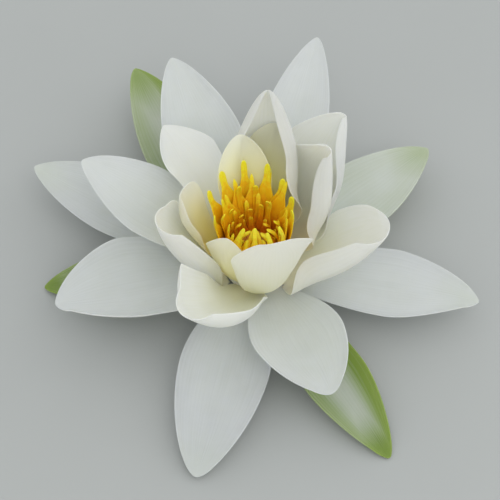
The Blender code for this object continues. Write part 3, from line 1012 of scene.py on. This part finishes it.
def turned_piece(name: str, profile: Sequence[tuple[float, float]],
                 segments: int) -> bpy.types.Object:
    """Makes a closed piece turned round the flower's axis.

    Args:
        name: the piece's name.
        profile: (radius, height) points from the top of the axis down to its foot.
        segments: how many faces go round.

    Returns:
        The object.
    """
    angles = np.linspace(0.0, 2.0 * pi, segments, endpoint=False)
    circle = np.stack([np.cos(angles), np.sin(angles)], 1)
    points = [(0.0, 0.0, profile[0][1])]
    for radius, height in profile[1:-1]:
        points += [(radius * x, radius * y, height) for x, y in circle]
    points.append((0.0, 0.0, profile[-1][1]))
    faces: list[tuple[int, ...]] = []
    last = len(points) - 1
    final = last - segments
    for step in range(segments):
        after = (step + 1) % segments
        faces.append((0, 1 + step, 1 + after))
        faces.append((last, final + after, final + step))
        for ring in range(len(profile) - 3):
            top, low = 1 + ring * segments, 1 + (ring + 1) * segments
            faces.append((top + step, low + step, low + after, top + after))
    return new_piece(name, np.array(points), faces)


@dataclass(frozen=True)
class Ovary:
    """The swollen middle that every blade stands on, hollowed on top to a dish."""

    foot_height: float = 5.0
    foot_radius: float = 5.6
    radius: float = 8.4
    widest: float = 10.0
    rim_radius: float = 5.0
    top: float = 17.0
    dish: float = 1.5
    knob_radius: float = 1.4
    knob_height: float = 1.2
    segments: int = 96

    @classmethod
    def radius_at(cls, height: float) -> float:
        """The ovary's radius at a height above the ground."""
        if height < cls.widest:
            share = (height - cls.foot_height) / (cls.widest - cls.foot_height)
            return cls.foot_radius + (cls.radius - cls.foot_radius) * sin(0.5 * pi * share)
        share = (height - cls.widest) / (cls.top - cls.widest)
        return cls.rim_radius + (cls.radius - cls.rim_radius) * cos(0.5 * pi * share**1.4)

    def build(self) -> bpy.types.Object:
        """Makes the turned solid, from the knob down to the foot."""
        turns = np.linspace(0.0, 0.5 * pi, 7)
        foot = self.top - self.dish
        profile = [(self.knob_radius * sin(turn), foot + self.knob_height * cos(turn))
                   for turn in turns]
        for share in np.linspace(0.05, 0.97, 9):
            radius = self.knob_radius + (self.rim_radius - self.knob_radius) * share
            profile.append((radius, foot + self.dish * share**1.6))
        profile += [(self.radius_at(height), height)
                    for height in np.linspace(self.top, self.foot_height, 30)]
        profile.append((0.0, self.foot_height))
        return turned_piece("ovary_body", profile, self.segments)

    def dress(self, piece: bpy.types.Object, material: bpy.types.Material) -> None:
        """Gives the material and hands the ovary over."""
        piece.data.materials.append(material)
        hand_over(piece, ("ovary",))


@dataclass(frozen=True)
class Stigma:
    """The rays of the dished stigma, their turned-in horns, and its sticky grain."""

    rays: int = 15
    inner_radius: float = 1.5
    outer_radius: float = 4.5
    thickness: float = 0.62
    horn: float = 1.5
    grains: int = 320
    grain_radius: float = 0.13
    seed: int = 5

    def height_at(self, radius: Value) -> Value:
        """The dish's height at a radius, both in metres."""
        share = (radius / (Ovary.rim_radius * MM)) ** 2.0
        return (share - 1.0) * (Ovary.dish * MM) + Ovary.top * MM

    def ray_graph(self, material: bpy.types.Material) -> GeometryGraph:
        """Builds the tree of the rays: one rib along the dish, set round the axis."""
        values = {"Ray Count": self.rays, "Inner Radius": self.inner_radius * MM,
                  "Outer Radius": self.outer_radius * MM, "Thickness": self.thickness * MM,
                  "Horn": self.horn * MM, "Material": material}
        graph = GeometryGraph("stigma_rays", values)
        x, y, z = graph.spot()
        along = z + 0.5
        run = graph.math("MINIMUM", along / 0.65, 1.0)
        rise = graph.span(along, 0.6, 1.0)
        radius = graph["Inner Radius"] + run * (graph["Outer Radius"] - graph["Inner Radius"])
        radius -= rise**2.0 * (graph["Horn"] * 0.5)
        taper = graph.span(along, 0.0, 0.25, 0.45, 1.0) * graph.span(along, 0.6, 1.0, 1.0, 0.25)
        girth = taper * graph["Thickness"]
        height = self.height_at(radius) + rise * graph["Horn"]
        shaped = graph.vector(radius + x * girth * rise, y * girth,
                              height + x * girth * (rise - 1.0))
        rib = graph.move(graph.tube(8, 16, 0.5), Position=shaped)
        azimuth = graph.put("GeometryNodeInputIndex") * (2.0 * pi / graph["Ray Count"])
        points = graph.points(graph["Ray Count"], AXIS_PLACE)
        graph.close(graph.copies(points, rib, Rotation=graph.turned(0.0, azimuth)))
        return graph

    def grain_graph(self, material: bpy.types.Material) -> GeometryGraph:
        """Builds the tree of the grain: small beads strewn over the dish."""
        values = {"Grain Count": self.grains, "Grain Radius": self.grain_radius * MM,
                  "Dish Radius": self.outer_radius * MM, "Seed": self.seed,
                  "Material": material}
        graph = GeometryGraph("stigma_grain", values)
        radius = graph.math("SQRT", graph.random(0.06, 1.0, 0)) * graph["Dish Radius"]
        angle = graph.random(0.0, 2.0 * pi, 1)
        place = graph.vector(graph.math("COSINE", angle) * radius + AXIS_PLACE[0],
                             graph.math("SINE", angle) * radius + AXIS_PLACE[1],
                             self.height_at(radius))
        bead = graph.put("GeometryNodeMeshIcoSphere",
                         {"Radius": graph["Grain Radius"], "Subdivisions": 2}, "Mesh")
        points = graph.points(graph["Grain Count"], place)
        graph.close(graph.copies(points, bead, Scale=graph.random(0.6, 1.3, 2)))
        return graph

    def build(self, material: bpy.types.Material) -> list[bpy.types.Object]:
        """Makes the rays and the grain as plain meshes."""
        return [self.ray_graph(material).make(), self.grain_graph(material).make()]

    def dress(self, pieces: list[bpy.types.Object]) -> None:
        """Hands the rays and the grain over."""
        for piece in pieces:
            hand_over(piece)


@dataclass(frozen=True)
class Stalk:
    """The stump of the stalk, cut square, with the air canals open at the cut."""

    radius: float = 5.0
    height: float = 4.65
    edge: float = 0.3
    large_canals: int = 4
    large_ring: float = 1.75
    large_bore: float = 0.85
    small_canals: int = 10
    small_ring: float = 3.6
    small_bore: float = 0.42
    depth: float = 3.0

    def graph(self, material: bpy.types.Material) -> GeometryGraph:
        """Builds the tree that bores the canals."""
        values = {"Large Canals": self.large_canals, "Large Ring": self.large_ring * MM,
                  "Large Bore": self.large_bore * MM, "Small Canals": self.small_canals,
                  "Small Ring": self.small_ring * MM, "Small Bore": self.small_bore * MM,
                  "Depth": self.depth * MM, "Material": material}
        graph = GeometryGraph("air_canals", values)
        joined = graph.add("GeometryNodeJoinGeometry")
        for kind in ("Small", "Large"):
            ring = graph.put("GeometryNodeMeshCircle", {"Vertices": graph[kind + " Canals"],
                                                        "Radius": graph[kind + " Ring"]})
            placed = graph.put("GeometryNodeTransform",
                               {"Geometry": ring, "Translation": AXIS_PLACE})
            bore = graph.tube(24, 1, graph[kind + " Bore"], graph["Depth"] * 2.0)
            graph.feed(joined.inputs[0], graph.copies(placed, bore))
        real = graph.realized(Value(graph, joined.outputs[0]))
        cut = graph.put("GeometryNodeMeshBoolean", {"Mesh 1": graph["Geometry"], "Mesh 2": real},
                        "Mesh", operation="DIFFERENCE", solver="EXACT")
        graph.close(cut)
        return graph

    def build(self, material: bpy.types.Material) -> bpy.types.Object:
        """Makes the stump and bores it."""
        profile = [(0.0, self.height), (self.radius, self.height)]
        turns = np.linspace(0.0, 0.5 * pi, 5)
        profile += [(self.radius - self.edge * (1.0 - cos(turn)),
                     self.edge * (1.0 - sin(turn))) for turn in turns]
        profile.append((0.0, 0.0))
        piece = turned_piece("stalk_stump", profile, 64)
        self.graph(material).apply_to(piece)
        piece.data.set_sharp_from_angle(angle=radians(40.0))
        return piece

    def dress(self, piece: bpy.types.Object) -> None:
        """Hands the stump over."""
        hand_over(piece, ("cut_stalk",))


@dataclass(frozen=True)
class Lamp:
    """A square soft light that points at the flower."""

    name: str
    place: tuple[float, float, float]  # metres
    size: float  # metres
    power: float  # watts
    colour: tuple[float, float, float] = (1.0, 1.0, 1.0)

    def build(self) -> None:
        """Makes the light."""
        data = bpy.data.lights.new(self.name, "AREA")
        data.size = self.size
        data.energy = self.power
        data.color = self.colour
        lamp = bpy.data.objects.new(self.name, data)
        lamp.location = self.place
        lamp.rotation_mode = "QUATERNION"
        lamp.rotation_quaternion = lamp.location.to_track_quat("Z", "Y")
        bpy.context.scene.collection.objects.link(lamp)


@dataclass(frozen=True)
class Studio:
    """The floor, the soft light and the camera."""

    floor_half: float = 1.5  # metres
    elevation: float = 56.0  # of the camera, degrees
    distance: float = 500.0
    aim_height: float = 10.0
    lens: float = 135.0
    shift: tuple[float, float] = (-0.01, 0.024)
    sky: Colour = (0.84, 0.86, 0.87, 1.0)
    sky_strength: float = 0.97
    lamps: tuple[Lamp, ...] = (
        Lamp("key_lamp", (0.22, -0.52, 0.95), 0.8, 2.2, (1.0, 0.99, 0.96)),
        Lamp("fill_lamp", (0.80, 0.05, 0.60), 0.9, 1.0, (0.98, 0.99, 1.0)),
    )

    def build(self) -> None:
        """Makes the floor, the lights, the sky and the camera."""
        half = self.floor_half
        mesh = bpy.data.meshes.new("floor")
        corners = [(-half, -half, 0.0), (half, -half, 0.0), (half, half, 0.0),
                   (-half, half, 0.0)]
        mesh.from_pydata(corners, [], [(0, 1, 2, 3)])
        mesh.materials.append(FloorFinish().material())
        floor = bpy.data.objects.new("floor", mesh)
        bpy.context.scene.collection.objects.link(floor)
        for lamp in self.lamps:
            lamp.build()
        world = bpy.data.worlds.new("soft_sky")
        world.use_nodes = True
        sky = world.node_tree.nodes["Background"].inputs
        sky["Color"].default_value = self.sky
        sky["Strength"].default_value = self.sky_strength
        bpy.context.scene.world = world
        bpy.context.scene.view_settings.view_transform = "Standard"
        self.place_camera()

    def place_camera(self) -> None:
        """Makes the camera, looking along +Y and down at the flower."""
        data = bpy.data.cameras.new("camera")
        data.lens = self.lens
        data.shift_x, data.shift_y = self.shift
        camera = bpy.data.objects.new("camera", data)
        tilt = radians(self.elevation)
        camera.location = (FLOWER_AXIS[0] * MM,
                           (FLOWER_AXIS[1] - self.distance * cos(tilt)) * MM,
                           (self.aim_height + self.distance * sin(tilt)) * MM)
        camera.rotation_euler = (0.5 * pi - tilt, 0.0, 0.0)
        bpy.context.scene.collection.objects.link(camera)
        bpy.context.scene.camera = camera


def build_core() -> None:
    """Makes the stalk, the ovary and the stigma."""
    stalk = Stalk()
    stalk.dress(stalk.build(TissueFinish(
        "stalk_tissue", (0.20, 0.17, 0.05, 1.0), (0.30, 0.20, 0.08, 1.0)).material()))
    tissue = TissueFinish("ovary_tissue", (0.72, 0.30, 0.008, 1.0), (0.80, 0.40, 0.02, 1.0),
                          side=(0.76, 0.76, 0.56, 1.0)).material()
    ovary = Ovary()
    ovary.dress(ovary.build(), tissue)
    stigma = Stigma()
    stigma.dress(stigma.build(tissue))


def build_petals() -> None:
    """Makes the sepals and the petals, ring by ring."""
    petal = PetalFinish("petal_white")
    # a greyer copy of the petal white: painted shade for the flat outer petals, which take less
    # light than the upright cup
    outer = PetalFinish("outer_petal_white_painted_shade", white=(0.65, 0.675, 0.655, 1.0),
                        shade=(0.57, 0.595, 0.56, 1.0), back=(0.66, 0.68, 0.66, 1.0),
                        back_vein=(0.58, 0.60, 0.57, 1.0))
    sepal = PetalFinish("sepal_green_backed", white=(0.50, 0.54, 0.46, 1.0),
                        shade=(0.40, 0.45, 0.34, 1.0), green=(0.17, 0.26, 0.03, 1.0),
                        back=(0.20, 0.27, 0.07, 1.0), back_vein=(0.30, 0.33, 0.12, 1.0),
                        veins=9.0, vein_strength=0.15, back_lines=0.6)
    pale_sepal = replace(sepal, name="sepal_pale_inside", white=(0.60, 0.64, 0.58, 1.0),
                         shade=(0.52, 0.56, 0.47, 1.0))
    # the cream's back is likewise darker than its inner face: painted shade
    cream = PetalFinish("inner_petal_cream", white=(0.88, 0.88, 0.74, 1.0),
                        shade=(0.84, 0.84, 0.66, 1.0), back=(0.79, 0.80, 0.68, 1.0),
                        back_vein=(0.74, 0.75, 0.62, 1.0))
    for ring, finish in (
        (BladeRing(SEPALS, CALYX[:1], Slot.SEPAL), sepal),
        (BladeRing(SEPALS, CALYX[1:2], Slot.SEPAL), pale_sepal),
        (BladeRing(SEPALS, CALYX[2:], Slot.SEPAL), sepal),
        (BladeRing(OUTER, OUTER_PETALS, Slot.PETAL), outer),
        (BladeRing(SECOND, SECOND_PETALS[:3], Slot.PETAL), outer),
        (BladeRing(SECOND, SECOND_PETALS[3:], Slot.PETAL), petal),
        (BladeRing(THIRD, THIRD_PETALS[:1], Slot.PETAL), outer),
        (BladeRing(THIRD, THIRD_PETALS[1:], Slot.PETAL), petal),
        (BladeRing(INNER, INNER_PETALS, Slot.INNER_PETAL), cream),
    ):
        ring.dress(ring.build(), finish)


def build_stamens() -> None:
    """Makes the stamens that have a CAD node, then those that fill the rings."""
    anther = StamenFinish("outer_stamen_gold").material()
    golden_anther = StamenFinish("middle_stamen_gold", foot=(0.72, 0.22, 0.002, 1.0),
                                 body=(0.89, 0.48, 0.004, 1.0), tip=(0.94, 0.77, 0.025, 1.0),
                                 high=0.6).material()
    deep = StamenFinish("inner_stamen_gold", foot=(0.72, 0.20, 0.002, 1.0),
                        body=(0.86, 0.40, 0.003, 1.0), tip=(0.94, 0.68, 0.02, 1.0), low=0.2,
                        high=0.7).material()
    for ring, material in (
        (StamenRing("outer", OUTER_STAMENS, OUTER_RING, finger=0.34), anther),
        (StamenRing("middle", MIDDLE_STAMENS, MIDDLE_RING, 40.0, 0.2, 0.5),
         golden_anther),
        (StamenRing("inner", INNER_STAMENS, INNER_RING, 35.0, 0.15, 0.6), deep),
    ):
        ring.dress(ring.build(), material)
    for fill, material in (
        (StamenFill("stamens_behind", 17, 14.8, 13.5, 4.0, 5.2, 5.0, 7.0, 14.0, 0.12, 0.2, 11),
         golden_anther),
        (StamenFill("stamens_between", 15, 15.8, 8.5, 2.5, 2.7, 12.0, 6.0, 16.0, 0.35, 0.3,
                    12, 0.25, 0.5), golden_anther),
        (StamenFill("stamens_within", 12, 16.5, 4.0, 1.0, 2.0, 3.0, 6.0, 14.0, 0.25, 0.2, 13,
                    0.2, 0.6), deep),
    ):
        fill.dress(fill.build(material))


def main() -> None:
    """Builds the flower and its studio, in order."""
    logging.basicConfig(level=logging.INFO, format="%(name)s: %(message)s")
    Studio().build()
    build_core()
    build_petals()
    build_stamens()


if __name__ == "__main__":
    main()
